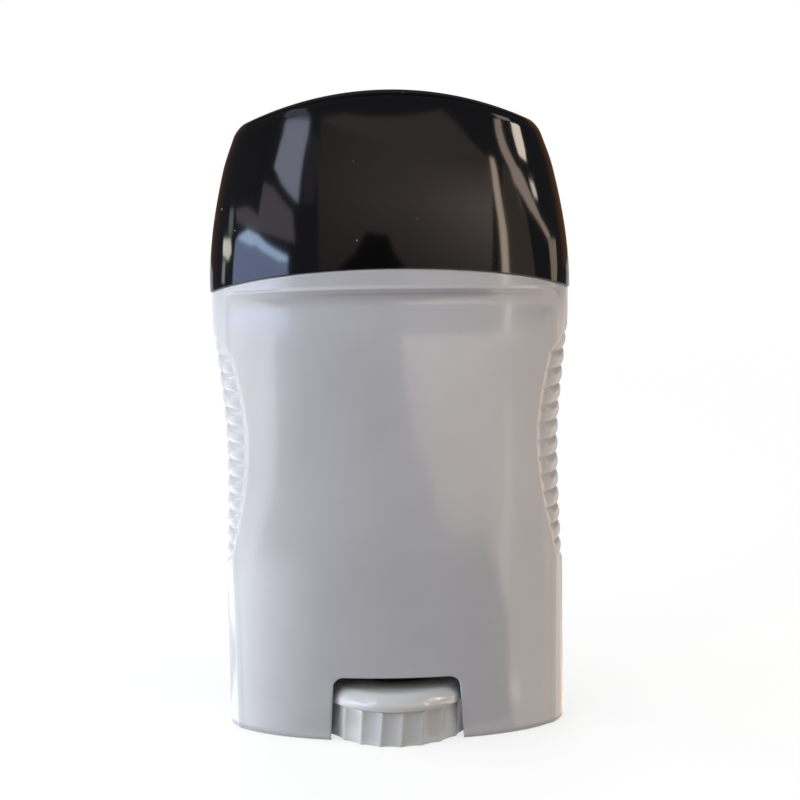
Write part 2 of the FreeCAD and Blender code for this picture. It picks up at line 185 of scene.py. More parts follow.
def gripDistance(y, z):
    # distance inside the leaf-shaped grip: the least of its distances inside the side, top and bottom arcs
    low, wide, high = body["gripHalfDepths"]
    top = body["firstGroove"] + (body["grooveCount"] - 1) * body["groovePitch"] + body["gripMargin"]
    bottom = body["firstGroove"] - body["gripMargin"]
    upper, lower = top - body["gripMargin"], bottom + body["gripMargin"] / 2
    side = circleThrough((high, upper), (wide, body["gripWidestHeight"]), (low, lower))
    crown = circleThrough((-high, upper), (0, top), (high, upper))
    tail = circleThrough((-low, lower), (0, bottom), (low, lower))
    inside = [radius - np.hypot(across - centreY, z - centreZ)
              for across, (centreY, centreZ, radius) in ((np.abs(y), side), (y, crown), (y, tail))]
    fromCrown = np.where(z > upper, inside[1], 99)
    fromTail = np.where(z < lower, inside[2], 99)
    return np.minimum(inside[0], np.minimum(fromCrown, fromTail)), (z - bottom) / (top - bottom)


def panelSink(x, z):
    # sunk label panel: a cove under the ledge, a step at its side borders, and a rolled edge round both
    down = ledgeHeight(x) - z
    inwards = body["halfWidth"] - body["panelSideMargin"] - np.abs(x)
    corner = body["panelCorner"]
    inside = corner - np.hypot(np.maximum(corner - down, 0), np.maximum(corner - inwards, 0))
    cove = 1 - (1 - np.clip(down / body["ledgeCove"], 0, 1)) ** body["coveCurve"]
    cove = cove * smoothStep(*body["borderEase"], inside)
    slope = x / bodyHalfWidth(z)
    across, depth = slope / bodyHalfWidth(z), np.sqrt(1 - np.minimum(slope ** 2, 1)) / bodyHalfDepth(z)
    facing = depth ** 2 * bodyHalfDepth(z) / np.hypot(across, depth)
    height = body["sideRoll"] + (body["ledgeRoll"] - body["sideRoll"]) * smoothStep(0, 2 * corner, inwards)
    roll = height * np.exp(-((inside + body["rollOutwards"]) / body["rollWidth"]) ** 2)
    dip = body["coveDip"] * (1 - smoothStep(*body["dipReach"], down))
    return (body["panelRecess"] + dip) * cove * facing - roll


def gripSink(x, y, z):
    # beads inside the leaf, each a convex pad between two grooves and rounded off towards the leaf's border,
    # and the share of the surface that belongs to the grip
    edge, height = gripDistance(y, z)
    swell = np.sin(math.pi * np.clip(height, 0, 1))
    inset = body["gripEndInset"] + (body["gripInset"] - body["gripEndInset"]) * swell
    phase = (z - body["firstGroove"]) / body["groovePitch"]
    count = body["grooveCount"]
    ribbed = smoothStep(-1.1, -0.6, phase) * (1 - smoothStep(count - 0.4, count + 0.1, phase))
    across = np.abs(2 * (phase - np.floor(phase)) - 1) ** body["beadCurve"] * ribbed
    along = np.clip(1 - edge / body["beadEnd"], 0, 1) ** 2
    drop = across + body["beadRounding"] * along * (1 - across)
    share = smoothStep(*body["gripEase"], edge) * (np.abs(x) > body["gripFromX"])
    return inset + body["grooveDepth"] * drop, share


def bodySink(x, y, z):
    # how far the outer surface lies inside the full oval: panels, beads, foot rounding, a faint sink mark
    grip, share = gripSink(x, y, z)
    foot = np.clip(1 - z / body["footRadius"], 0, 1)
    foot = body["footRadius"] * (1 - np.sqrt(1 - foot ** 2))
    below = z - body["floorTop"] + body["sinkBelowFloor"]
    mark = body["sinkDepth"] * np.exp(-(below / body["sinkSpread"]) ** 2)
    return panelSink(x, z) * (1 - share) + grip * share + foot + mark


def bodySurface(angle, z):
    # point of the outer skin: an oval at its height, moved inwards along its level normal by bodySink
    halfWidth, halfDepth = bodyHalfWidth(z), bodyHalfDepth(z) + body["panelRecess"]
    x, y = halfWidth * np.sin(angle), -halfDepth * np.cos(angle)
    normalX, normalY = np.sin(angle) / halfWidth, -np.cos(angle) / halfDepth
    length = np.hypot(normalX, normalY)
    sink = bodySink(x, y, z)
    return stack(x - sink * normalX / length, y - sink * normalY / length, z)


def ovalRing(half, angle, z):
    return stack(half[0] * np.sin(angle), -half[1] * np.cos(angle), z)


def bodyRows(angle):
    # heights of the outer skin's rows: level up to the shoulder, then along the ledge and the parting arch
    x = body["halfWidth"] * np.sin(angle)
    foot = [0, 0.04, 0.12, 0.27, 0.5]
    pitch = body["groovePitch"]
    first = body["firstGroove"] - 1.5 * pitch
    withinBead = np.array([0, 0.03, 0.08, 0.16, 0.3, 0.5, 0.7, 0.84, 0.92, 0.97])  # closer in the grooves
    beads = np.arange(-2, body["grooveCount"] + 1)[:, None] + withinBead
    beads = body["firstGroove"] + beads.ravel()[5:] * pitch
    level = np.concatenate([foot, np.linspace(0.5, body["notchHeight"], 26)[1:],
                            np.linspace(body["notchHeight"], first, 18)[1:-1], beads[beads < 72]])
    level = np.repeat(level[:, None], len(angle), axis=1)
    ledge, parting = ledgeHeight(x), partingHeight(x) - body["shoulderEdge"]
    nearLedge = 1 - 0.5 * (1 - np.linspace(0, 1, 17)[1:]) ** 1.6
    share = np.concatenate([np.linspace(0, 1, 5)[1:] * 0.5, nearLedge])[:, None]
    toLedge = level[-1:] + (ledge - level[-1:]) * share
    toParting = ledge + (parting - ledge) * (np.linspace(0, 1, 17)[1:] ** 1.35)[:, None]
    return np.concatenate([level, toLedge, toParting])


def windowOutline(count, rise):
    # a window's outline from its left foot round its top to its right foot: x, z and the outward direction,
    # with count points over the top and one for each share of rise up either side
    top, height, corner = body["windowHalfTop"], body["windowHeight"], body["windowCorner"]
    base = top + body["windowFlare"]
    lean = math.atan2(body["windowFlare"], height)
    turn = np.linspace(0, math.pi / 2 - lean, 40)
    cornerX = top - corner * (1 - math.sin(lean)) / math.cos(lean)
    arcX, arcZ = cornerX + corner * np.sin(turn), height - corner + corner * np.cos(turn)
    halfX, halfZ = np.append(arcX, base), np.append(arcZ, 0)
    x, z = np.concatenate([-halfX[::-1], halfX]), np.concatenate([halfZ[::-1], halfZ])
    length = np.concatenate([[0], np.cumsum(np.hypot(np.diff(x), np.diff(z)))])
    cornerAt = (length[1] + 0.5 * (length[40] - length[1])) / length[-1]  # half way round the rounded corner
    along = np.concatenate([rise * cornerAt, cornerAt + (1 - 2 * cornerAt) * np.linspace(0, 1, count)[1:-1],
                            1 - cornerAt * rise[::-1]])
    at = along * length[-1]
    outX, outZ = np.interp(at, length, x), np.interp(at, length, z)
    slopeX, slopeZ = np.gradient(outX), np.gradient(outZ)
    size = np.hypot(slopeX, slopeZ)
    return outX, outZ, -slopeZ / size, slopeX / size


def makeBody():
    # outer skin, shoulder, shelf, neck, bore, floor and skirt as rings of one grid, open at the windows
    columns, notch = body["columns"], body["notchColumns"]
    angle = columnAngle(np.arange(columns))
    z = bodyRows(angle)
    outer = bodySurface(angle[None, :], z)
    notchRow = int(np.argmin(np.abs(z[:, 0] - body["notchHeight"])))
    top = outer[-1]
    neckX = body["neckHalf"][0] * np.sin(angle)
    rings = []
    for turn in (0.35, 0.7, 1.0):  # rounded shoulder edge, then the arched shelf in to the neck
        inwards, drop = roundCorner(body["shoulderEdge"], turn)
        half = (body["halfWidth"] - inwards, body["bandDepth"] - inwards)
        ring = ovalRing(half, angle, 0)
        ring[:, 2] = partingHeight(ring[:, 0]) - drop
        rings.append(ring)
    beadMiddle = body["neckTop"] - body["beadBelowTop"]
    foot = partingHeight(neckX)
    rings.append(ovalRing(body["neckHalf"], angle, foot))
    for share in (0.5, 1):
        rings.append(ovalRing(body["neckHalf"], angle, foot + (beadMiddle - 0.7 - foot) * share))
    for turn in np.linspace(-1, 1, 7):
        proud = body["beadProud"] * math.cos(turn * math.pi / 2)
        half = (body["neckHalf"][0] + proud, body["neckHalf"][1] + proud)
        rings.append(ovalRing(half, angle, beadMiddle + 0.5 * turn))
    for half, sign in ((body["neckHalf"], -1), (body["boreHalf"], 1)):
        for turn in np.linspace(0, 1, 5) if sign < 0 else np.linspace(1, 0, 5):
            shift, drop = roundCorner(body["lipRadius"], turn)
            lip = (half[0] + shift * sign, half[1] + shift * sign)
            rings.append(ovalRing(lip, angle, body["neckTop"] - drop))
    for height in np.linspace(body["neckTop"] - 1, body["floorTop"] + 0.5, 4):
        rings.append(ovalRing(body["boreHalf"], angle, height))
    bearing, (inset, lift) = body["bearingRadius"], body["floorFillet"]
    for share in np.linspace(0, 1, 3):
        half = [side - inset + (bearing - side + inset) * share for side in body["boreHalf"]]
        rings.append(ovalRing(half, angle, body["floorTop"] + (lift if share == 0 else 0)))
    for share in np.linspace(1, 0, 3):
        half = [side - inset + (bearing - side + inset) * share for side in body["skirtHalf"]]
        rings.append(ovalRing(half, angle, body["floorUnderside"] - (lift if share == 0 else 0)))
    for height in np.linspace(body["floorUnderside"] - 0.5, body["notchHeight"], 3):
        rings.append(ovalRing(body["skirtHalf"], angle, height))
    upper = np.concatenate([outer[notchRow:], np.stack(rings)])
    innerSkirt = np.stack([ovalRing(body["skirtHalf"], angle, height) for height in z[:notchRow + 1, 0]])
    grids = [(upper, True)]
    halfTurn = columns // 2
    for turned in (0, halfTurn):
        side = (np.arange(notch, halfTurn - notch + 1) + turned) % columns
        grids += [(outer[:notchRow + 1][:, side], False), (innerSkirt[:, side], False),
                  (np.stack([outer[0][side], innerSkirt[0][side]]), False)]
        grids += windowFrame(z[:notchRow + 1, 0], notch, -1 if turned else 1)
    points, faces = joinGrids(grids)
    return addMesh("bodyShell", points, faces)


def windowFrame(heights, notch, facing):
    # the skirt wall between the notch in the main grid and one window, with the window's own rounded edge
    across = np.arange(-notch, notch + 1)
    side = len(heights)
    local = columnAngle(np.concatenate([np.full(side, -notch), across[1:-1], np.full(side, notch)]))
    level = np.concatenate([heights, np.full(len(across) - 2, heights[-1]), heights[::-1]])
    outX, outZ, normalX, normalZ = windowOutline(len(across), heights / heights[-1])

    def outerPoint(x, z):
        return bodySurface(np.arcsin(np.clip(x / bodyHalfWidth(z), -1, 1)), z)

    def innerPoint(x, z):
        return stack(x, -body["skirtHalf"][1] * np.sqrt(1 - (x / body["skirtHalf"][0]) ** 2), z)

    edge = body["windowEdge"]
    shares = np.linspace(0, 1, 7)
    outerRim = outerPoint(outX + normalX * edge, outZ + normalZ * edge)
    notchOuter = bodySurface(local, level)
    notchInner = ovalRing(body["skirtHalf"], local, level)
    innerRim = innerPoint(outX + normalX * edge * 0.5, outZ + normalZ * edge * 0.5)
    rows = []
    for share in shares:
        x = notchOuter[:, 0] + (outerRim[:, 0] - notchOuter[:, 0]) * share
        z = level + (outZ + normalZ * edge - level) * share
        rows.append(notchOuter if share == 0 else outerPoint(x, z))
    for turn in np.linspace(0, 1, 5)[1:]:
        depth, shift = roundCorner(edge, turn)
        ring = outerPoint(outX + normalX * shift, outZ + normalZ * shift)
        rows.append(ring + np.array([0, depth, 0]))
    for turn in np.linspace(1, 0, 3):
        depth, shift = roundCorner(edge * 0.5, turn)
        ring = innerPoint(outX + normalX * shift, outZ + normalZ * shift)
        rows.append(ring - np.array([0, depth, 0]))
    for share in shares[::-1][1:]:
        x = notchInner[:, 0] + (innerRim[:, 0] - notchInner[:, 0]) * share
        z = level + (innerRim[:, 2] - level) * share
        rows.append(notchInner if share == 0 else innerPoint(x, z))
    sheet = np.stack(rows)
    sheet[:, [0, -1], 2] = 0
    if facing < 0:
        sheet = sheet * np.array([-1, -1, 1])
    half = len(sheet) // 2
    strips = []
    for end in (0, -1):
        line = sheet[:, end]
        strips.append((np.stack([line[:half + 1], line[::-1][:half + 1]]), False))
    return [(sheet, False)] + strips


bodyShell = makeBody()
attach(bodyShell, "barrel")
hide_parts("body")
print("body made")


# over-cap: an oval dome whose sides close in by a power of the height under a spherical crown
capHigh = np.array(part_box("over_cap")[1]) / mm
cap = {
    "halfWidth": body["halfWidth"] + 0.25, "halfDepth": body["bandDepth"] + 0.25, "top": capHigh[2],
    "straightTop": 81.06, "sideClosing": 7.55, "sidePower": 1.65, "faceClosing": 6.0,
    "cornerClosing": 0.5, "cornerHeights": (100, 108), "crownRadius": 57.6, "edgeRadius": 1.3,
    "crownWall": 1.6, "sideWall": 1.5, "innerRadius": 1.0,
    "seatGap": 0.1, "rimRadius": 0.1, "mouthChamfer": 0.2,
    "socketHalf": (body["neckHalf"][0] + 0.25, body["neckHalf"][1] + 0.25),
    "socketTop": body["neckTop"] + 0.25, "turnHeight": 100.0, "medialReach": 16.5, "columns": 320,
}


def capInside(x, y, z, shrink, crownDrop, rounding):
    # negative inside: distance inside the closing oval sides and the crown sphere, met by a round edge
    share = np.clip((z - cap["straightTop"]) / (cap["top"] + 1 - cap["straightTop"]), 0, 1.1)
    halfWidth = cap["halfWidth"] - shrink - cap["sideClosing"] * share ** cap["sidePower"]
    halfWidth = halfWidth - cap["cornerClosing"] * smoothStep(*cap["cornerHeights"], z)
    halfDepth = cap["halfDepth"] - shrink - cap["faceClosing"] * share ** 2
    level = (x / halfWidth) ** 2 + (y / halfDepth) ** 2 - 1
    steep = 2 * np.sqrt(x ** 2 / halfWidth ** 4 + y ** 2 / halfDepth ** 4) + 1e-6
    side = level / steep
    radius = cap["crownRadius"] - crownDrop
    centre = cap["top"] - cap["crownRadius"]
    crown = np.sqrt(x ** 2 + y ** 2 + (z - centre) ** 2) - radius
    corner = np.hypot(np.maximum(side + rounding, 0), np.maximum(crown + rounding, 0))
    return np.minimum(-rounding, np.maximum(side, crown)) + corner


def capRay(angle, originZ, tilt, shrink, crownDrop, rounding):
    # where a ray from the oval's middle line, level or tilted up, leaves the cap: found by halving
    fromX = cap["medialReach"] * np.sin(angle)
    levelX, levelY = np.sin(angle) / cap["halfWidth"], -np.cos(angle) / cap["halfDepth"]
    size = np.hypot(levelX, levelY)
    stepX, stepY, stepZ = levelX / size * np.cos(tilt), levelY / size * np.cos(tilt), np.sin(tilt)
    near = np.zeros(np.broadcast(angle, originZ, tilt).shape)
    far = np.full(near.shape, 40.0)
    for _ in range(44):
        middle = (near + far) / 2
        outside = capInside(fromX + stepX * middle, stepY * middle, originZ + stepZ * middle,
                            shrink, crownDrop, rounding) > 0
        far, near = np.where(outside, middle, far), np.where(outside, near, middle)
    return stack(fromX + stepX * near, stepY * near, originZ + stepZ * near)


def makeCap():
    # from the inner crown down to the socket's mouth, round the lip and up to the outer crown, as one grid
    columns, chamfer = cap["columns"], cap["mouthChamfer"]
    angle = np.arange(columns) * 2 * math.pi / columns
    rimRadius = cap["rimRadius"]
    rim = np.full(columns, cap["straightTop"])
    for _ in range(6):  # the rim's height where its own ray leaves the cap
        rim = partingHeight(capRay(angle, rim, 0, 0, 0, cap["edgeRadius"])[:, 0]) + cap["seatGap"]
    share = np.concatenate([[0, 0.002, 0.01], np.linspace(0, 1, 26)[1:]])[:, None]
    rows = rim + rimRadius + (cap["turnHeight"] - rim - rimRadius) * share
    side = capRay(angle[None, :], rows, 0, 0, 0, cap["edgeRadius"])
    tilts = (np.linspace(0, 1, 70)[1:] ** 0.8 * math.pi / 2)[:, None]
    crown = capRay(angle[None, :], cap["turnHeight"], tilts, 0, 0, cap["edgeRadius"])
    outer = np.concatenate([side, crown])
    base = side[0]
    normal = stack(np.sin(angle) / cap["halfWidth"], -np.cos(angle) / cap["halfDepth"], 0)
    normal /= np.linalg.norm(normal, axis=1)[:, None]
    lip = []
    for turn in (1.0, 0.66, 0.33):
        shift, drop = roundCorner(rimRadius, turn)
        ring = base - normal * shift
        ring[:, 2] = rim + drop
        lip.append(ring)
    inner = []
    socketRim = partingHeight(cap["socketHalf"][0] * np.sin(angle)) + cap["seatGap"]
    mouth = [half + chamfer for half in cap["socketHalf"]]
    inner.append(ovalRing(mouth, angle, socketRim))
    for share in np.linspace(0, 1, 5):
        height = socketRim + chamfer + (cap["socketTop"] - socketRim - chamfer) * share
        inner.append(ovalRing(cap["socketHalf"], angle, height))
    innerTurn = cap["turnHeight"] - 0.5
    walls = (cap["sideWall"], cap["crownWall"], cap["innerRadius"])
    innerSide = capRay(angle[None, :], np.linspace(cap["socketTop"], innerTurn, 6)[:, None], 0, *walls)
    innerCrown = capRay(angle[None, :], innerTurn, (np.linspace(0, 1, 28) * math.pi / 2)[:, None], *walls)
    inside = np.concatenate([np.stack(inner), innerSide, innerCrown[1:]])
    whole = np.concatenate([inside[::-1], np.stack(lip), outer])
    points, faces = joinGrids([(whole, True)])
    return addMesh("capShell", points, faces, weld=0.02)


capShell = makeCap()
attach(capShell, "cap")
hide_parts("over_cap")
print("cap made")


# knob: a fluted skirt under a rounded collar, hollow below, with a hub up to the floor
knobLow, knobHigh = (np.array(corner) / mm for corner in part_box("knob"))
knob = {
    "collarRadius": knobHigh[0], "collarTop": 9.6, "collarRounding": 2.4, "collarEdge": 0.5, "overhang": 0.4,
    "collarLip": 0.22, "skirtEdge": 0.3, "fluteCurve": 2.2,
    "fluteCount": 24, "fluteDepth": 0.45, "fluteStart": math.radians(2.5), "fluteLean": math.radians(2.2),
    "bottom": knobLow[2], "gap": 0.16,
    "wall": 1.7, "deckUnderside": 7.8, "hubRadius": 6.2, "hubTop": knobHigh[2], "hubBottom": 1.8,
    "socketFlats": 5.66, "socketBottom": 4.9, "columnsPerFlute": 16, "ribCount": 6, "ribThickness": 1.0,
}
knob["collarBottom"] = knob["collarTop"] - knob["collarRounding"] - knob["collarEdge"]


def fluteRadius(angle, z):
    # shallow hollow between narrow ridges, leaning as it rises
    height = knob["collarBottom"] - knob["bottom"]
    lean = knob["fluteLean"] * (z - knob["bottom"]) / height + knob["fluteStart"]
    phase = (angle - lean) * knob["fluteCount"] / (2 * math.pi)
    phase = phase - np.floor(phase)
    hollow = 1 - np.abs(2 * phase - 1) ** knob["fluteCurve"]
    return knob["collarRadius"] - knob["overhang"] - knob["fluteDepth"] * hollow


def knobRib(index, cavity):
    # upright plate from the hub to the wall, closed over its ends with doubled corners
    half = knob["ribThickness"] / 2
    low, high = knob["bottom"] + knob["wall"] + 0.02, knob["deckUnderside"] + 0.1
    inEnd, outEnd = knob["hubRadius"] - 0.3, cavity + 0.3
    reach = np.array([inEnd, inEnd, outEnd, outEnd])[:, None]
    across = np.outer([0, 1, 1, 0], [-half, half, half, -half])
    side, middle = np.array([low, low, high, high]), np.full(4, (low + high) / 2)
    height = np.stack([middle, side, side, middle])
    turn = (index + 0.5) * 2 * math.pi / knob["ribCount"]
    x = reach * math.cos(turn) - across * math.sin(turn)
    y = reach * math.sin(turn) + across * math.cos(turn)
    return stack(x, y, height), True


def makeKnob():
    # rings from the hub's foot out through the cavity, up the flutes and collar, and down the socket
    columns = knob["fluteCount"] * knob["columnsPerFlute"]
    angle = np.arange(columns) * 2 * math.pi / columns
    rows = []

    def ring(radius, z):
        rows.append(stack(radius * np.cos(angle), radius * np.sin(angle), z))

    bottom, deck, wall = knob["bottom"], knob["deckUnderside"], knob["wall"]
    cavity = knob["collarRadius"] - knob["overhang"] - knob["fluteDepth"] - wall
    for radius in (0.0, 3.0, knob["hubRadius"] - 0.3):
        ring(radius, knob["hubBottom"])
    ring(knob["hubRadius"], knob["hubBottom"] + 0.3)
    ring(knob["hubRadius"], deck - 0.4)
    ring(knob["hubRadius"] + 0.4, deck)
    ring(cavity - 0.4, deck)
    ring(cavity, deck - 0.4)
    ring(cavity, bottom + 0.25)
    ring(cavity + 0.08, bottom + 0.08)
    ring(cavity + 0.25, bottom)
    for turn in np.linspace(0, 1, 5):
        up, inwards = roundCorner(knob["skirtEdge"], turn)
        ring(fluteRadius(angle, bottom) - inwards, bottom + up)
    top = knob["collarBottom"] - knob["gap"]
    for z in np.linspace(bottom + knob["skirtEdge"], top - 0.25, 14)[1:]:
        ring(fluteRadius(angle, z), z)
    ring(fluteRadius(angle, top) - 0.04, top - 0.1)
    ring(fluteRadius(angle, top) - 0.18, top)
    neck = knob["collarRadius"] - knob["overhang"] - knob["fluteDepth"] - 0.25
    ring(np.full(columns, neck), top)
    ring(np.full(columns, neck), knob["collarBottom"])
    for turn in np.linspace(0, 1, 5):
        up, inwards = roundCorner(knob["collarLip"], turn)
        ring(knob["collarRadius"] - inwards, knob["collarBottom"] + up)
    for turn in np.linspace(0, 1, 15):
        inwards, drop = roundCorner(knob["collarRounding"], turn)
        ring(knob["collarRadius"] - inwards, knob["collarTop"] - drop)
    ring(knob["hubRadius"] + 0.6, knob["collarTop"])
    ring(knob["hubRadius"] + 0.18, knob["collarTop"] + 0.18)
    ring(knob["hubRadius"], knob["collarTop"] + 0.6)
    ring(knob["hubRadius"], knob["hubTop"] - 0.2)
    ring(knob["hubRadius"] - 0.2, knob["hubTop"])
    hexagon = knob["socketFlats"] / 2 / np.cos(angle % (math.pi / 3) - math.pi / 6)
    ring(hexagon + 0.2, knob["hubTop"])
    ring(hexagon, knob["hubTop"] - 0.2)
    ring(hexagon, knob["socketBottom"])
    ring(0.0, knob["socketBottom"])
    ribs = [knobRib(index, cavity) for index in range(knob["ribCount"])]
    points, faces = joinGrids([(np.stack(rows), True)] + ribs)
    return addMesh("turnKnob", points, faces)


turnKnob = makeKnob()
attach(turnKnob, "dial")
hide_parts("knob")
print("knob made")


def setSockets(shader, values):
    for name, value in values.items():
        shader.inputs[name].default_value = value


def newMaterial(name):
    material = bpy.data.materials.new(name)
    material.use_nodes = True
    nodes, links = material.node_tree.nodes, material.node_tree.links
    return material, nodes, links, nodes["Principled BSDF"]


def noiseNode(nodes, links, scale, detail, source):
    noise = nodes.new("ShaderNodeTexNoise")
    noise.inputs["Scale"].default_value = scale
    noise.inputs["Detail"].default_value = detail
    links.new(source, noise.inputs["Vector"])
    return noise


def rampNode(nodes, links, source, stops):
    ramp = nodes.new("ShaderNodeValToRGB")
    for element, (position, colour) in zip(ramp.color_ramp.elements, stops):
        element.position, element.color = position, (*colour, 1)
    links.new(source, ramp.inputs["Fac"])
    return ramp


def mathNode(nodes, links, operation, first, second):
    # one operation on two sources, or on a source and a number
    joined = nodes.new("ShaderNodeMath")
    joined.operation = operation
    links.new(first, joined.inputs[0])
    if isinstance(second, (int, float)):
        joined.inputs[1].default_value = second
    else:
        links.new(second, joined.inputs[1])
    return joined.outputs["Value"]


def addBump(nodes, links, shader, height, strength, distance):
    bump = nodes.new("ShaderNodeBump")
    setSockets(bump, {"Strength": strength, "Distance": distance})
    links.new(height.outputs["Fac"], bump.inputs["Height"])
    links.new(bump.outputs["Normal"], shader.inputs["Normal"])


bodyPlastic = {"colour": (0.36, 0.365, 0.40), "roughness": 0.2}
knobPlastic = {
    "colour": (0.42, 0.43, 0.45), "roughness": 0.14,
    # painted shade: the collar's top and the hub darken to near black-brown towards the hub
    "paintedShade": {"radii": (0.0066, 0.0125), "heights": (0.0096, 0.0094), "colour": (0.01, 0.006, 0.004),
               "gloss": 0.85},
}


def shadeNode(nodes, links, coords, paintedShade):
    # share of full colour against the painted shade: grows from the inner to the outer radius and is whole
    # below the collar's top
    level, length = nodes.new("ShaderNodeVectorMath"), nodes.new("ShaderNodeVectorMath")
    level.operation, level.inputs[1].default_value = "MULTIPLY", (1, 1, 0)
    length.operation = "LENGTH"
    parts = nodes.new("ShaderNodeSeparateXYZ")
    links.new(coords, level.inputs[0])
    links.new(level.outputs["Vector"], length.inputs[0])
    links.new(coords, parts.inputs[0])
    shares = []
    sources = ((length.outputs["Value"], paintedShade["radii"]), (parts.outputs["Z"], paintedShade["heights"]))
    for source, reach in sources:
        ease = nodes.new("ShaderNodeMapRange")
        setSockets(ease, {"From Min": reach[0], "From Max": reach[1]})
        links.new(source, ease.inputs["Value"])
        shares.append(ease.outputs["Result"])
    return mathNode(nodes, links, "MAXIMUM", *shares)


def makeGreyPlastic(name, colour, roughness, paintedShade=None):
    # silver-grey moulded plastic: faint flow marks in the colour, a soft orange-peel in the gloss,
    # and, when given, painted shade darkening the colour towards the middle above the collar
    material, nodes, links, shader = newMaterial(name)
    coords = nodes.new("ShaderNodeTexCoord").outputs["Object"]
    flow = noiseNode(nodes, links, 45, 3, coords)
    pale = tuple(channel * 1.05 for channel in colour)
    dark = tuple(channel * 0.95 for channel in colour)
    tint = rampNode(nodes, links, flow.outputs["Fac"], [(0.3, dark), (0.7, pale)])
    links.new(tint.outputs["Color"], shader.inputs["Base Color"])
    # painted shade: the colour is mixed towards dark brown on the collar's top near the hub
    if paintedShade:
        share = shadeNode(nodes, links, coords, paintedShade)
        dim = nodes.new("ShaderNodeMix")
        dim.data_type = "RGBA"
        dim.inputs["A"].default_value = (*paintedShade["colour"], 1)
        links.new(share, dim.inputs["Factor"])
        links.new(tint.outputs["Color"], dim.inputs["B"])
        links.new(dim.outputs["Result"], shader.inputs["Base Color"])
        setSockets(shader, {"Specular IOR Level": paintedShade["gloss"]})
    peel = noiseNode(nodes, links, 260, 2, coords)
    grain = noiseNode(nodes, links, 2600, 2, coords)
    spread = nodes.new("ShaderNodeMapRange")
    setSockets(spread, {"To Min": roughness * 0.85, "To Max": roughness * 1.2})
    links.new(grain.outputs["Fac"], spread.inputs["Value"])
    links.new(spread.outputs["Result"], shader.inputs["Roughness"])
    addBump(nodes, links, shader, peel, 0.25, 0.00006)
    setSockets(shader, {"IOR": 1.49, "Coat Weight": 0.25, "Coat Roughness": 0.06})
    return material


def makeBlackPlastic():
    # black moulded plastic with a mirror gloss, a few dust specks and very faint ripples
    material, nodes, links, shader = newMaterial("blackPlastic")
    coords = nodes.new("ShaderNodeTexCoord").outputs["Object"]
    dust = nodes.new("ShaderNodeTexVoronoi")
    dust.inputs["Scale"].default_value = 240
    links.new(coords, dust.inputs["Vector"])
    stops = [(0.0, (0.3, 0.3, 0.32)), (0.045, (0.0025, 0.0023, 0.0027))]
    speck = rampNode(nodes, links, dust.outputs["Distance"], stops)
    links.new(speck.outputs["Color"], shader.inputs["Base Color"])
    ripple = noiseNode(nodes, links, 60, 1, coords)
    addBump(nodes, links, shader, ripple, 0.2, 0.00008)
    setSockets(shader, {"Roughness": 0.075, "IOR": 1.5})
    return material


def makeNaturalPlastic():
    # uncoloured moulded plastic: slightly translucent, satin
    material, nodes, links, shader = newMaterial("naturalPlastic")
    coords = nodes.new("ShaderNodeTexCoord").outputs["Object"]
    cloud = noiseNode(nodes, links, 90, 3, coords)
    stops = [(0.3, (0.74, 0.74, 0.7)), (0.7, (0.82, 0.82, 0.79))]
    tint = rampNode(nodes, links, cloud.outputs["Fac"], stops)
    links.new(tint.outputs["Color"], shader.inputs["Base Color"])
    grain = noiseNode(nodes, links, 1800, 2, coords)
    addBump(nodes, links, shader, grain, 0.2, 0.00004)
    setSockets(shader, {"Roughness": 0.38, "Subsurface Weight": 0.2, "Subsurface Scale": 0.002})
    return material


bodyShell.data.materials.append(makeGreyPlastic("bodyPlastic", **bodyPlastic))
capShell.data.materials.append(makeBlackPlastic())
turnKnob.data.materials.append(makeGreyPlastic("knobPlastic", **knobPlastic))
natural = makeNaturalPlastic()
for node in ("spindle", "platform"):
    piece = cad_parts[node]
    for slot in piece.material_slots:
        slot.material = natural
print("materials made")


# stage: a pale floor and a white room, seen white by the camera, by gloss and through clear plastic
stage = {
    "floorColour": (0.8, 0.8, 0.8), "floorBounce": (0.2, 0.2, 0.2), "floorSide": 6.0,
    "shadowShare": 0.3, "shadowReach": 0.5, "ambient": 0.2,
}


def seenNode(nodes, links):
    # 1 where the camera, a mirror or a clear surface looks, 0 for the light that falls on things
    path = nodes.new("ShaderNodeLightPath")
    total = path.outputs["Is Camera Ray"]
    for name in ("Is Glossy Ray", "Is Transmission Ray"):
        total = mathNode(nodes, links, "MAXIMUM", total, path.outputs[name])
    return total


def makeFloor():
    # a lit floor near the object, where its shadow shows, fading to plain white further out
    side = stage["floorSide"] / 2
    mesh = bpy.data.meshes.new("floor")
    corners = [(-side, -side, 0), (side, -side, 0), (side, side, 0), (-side, side, 0)]
    mesh.from_pydata(corners, [], [(0, 1, 2, 3)])
    floor = bpy.data.objects.new("floor", mesh)
    bpy.context.collection.objects.link(floor)
    material, nodes, links, shader = newMaterial("paleFloor")
    setSockets(shader, {"Roughness": 0.9, "Specular IOR Level": 0.1})
    seen = seenNode(nodes, links)
    shade = rampNode(nodes, links, seen, [(0, stage["floorBounce"]), (1, stage["floorColour"])])
    links.new(shade.outputs["Color"], shader.inputs["Base Color"])
    glow = nodes.new("ShaderNodeEmission")
    place = nodes.new("ShaderNodeTexCoord").outputs["Object"]
    reach = nodes.new("ShaderNodeVectorMath")
    reach.operation = "LENGTH"
    links.new(place, reach.inputs[0])
    fade = nodes.new("ShaderNodeMapRange")
    setSockets(fade, {"From Max": stage["shadowReach"], "To Min": 1 - stage["shadowShare"], "To Max": 1.0})
    links.new(reach.outputs["Value"], fade.inputs["Value"])
    mix = nodes.new("ShaderNodeMixShader")
    links.new(mathNode(nodes, links, "MULTIPLY", fade.outputs["Result"], seen), mix.inputs["Fac"])
    links.new(shader.outputs["BSDF"], mix.inputs[1])
    links.new(glow.outputs["Emission"], mix.inputs[2])
    links.new(mix.outputs["Shader"], nodes["Material Output"].inputs["Surface"])
    mesh.materials.append(material)


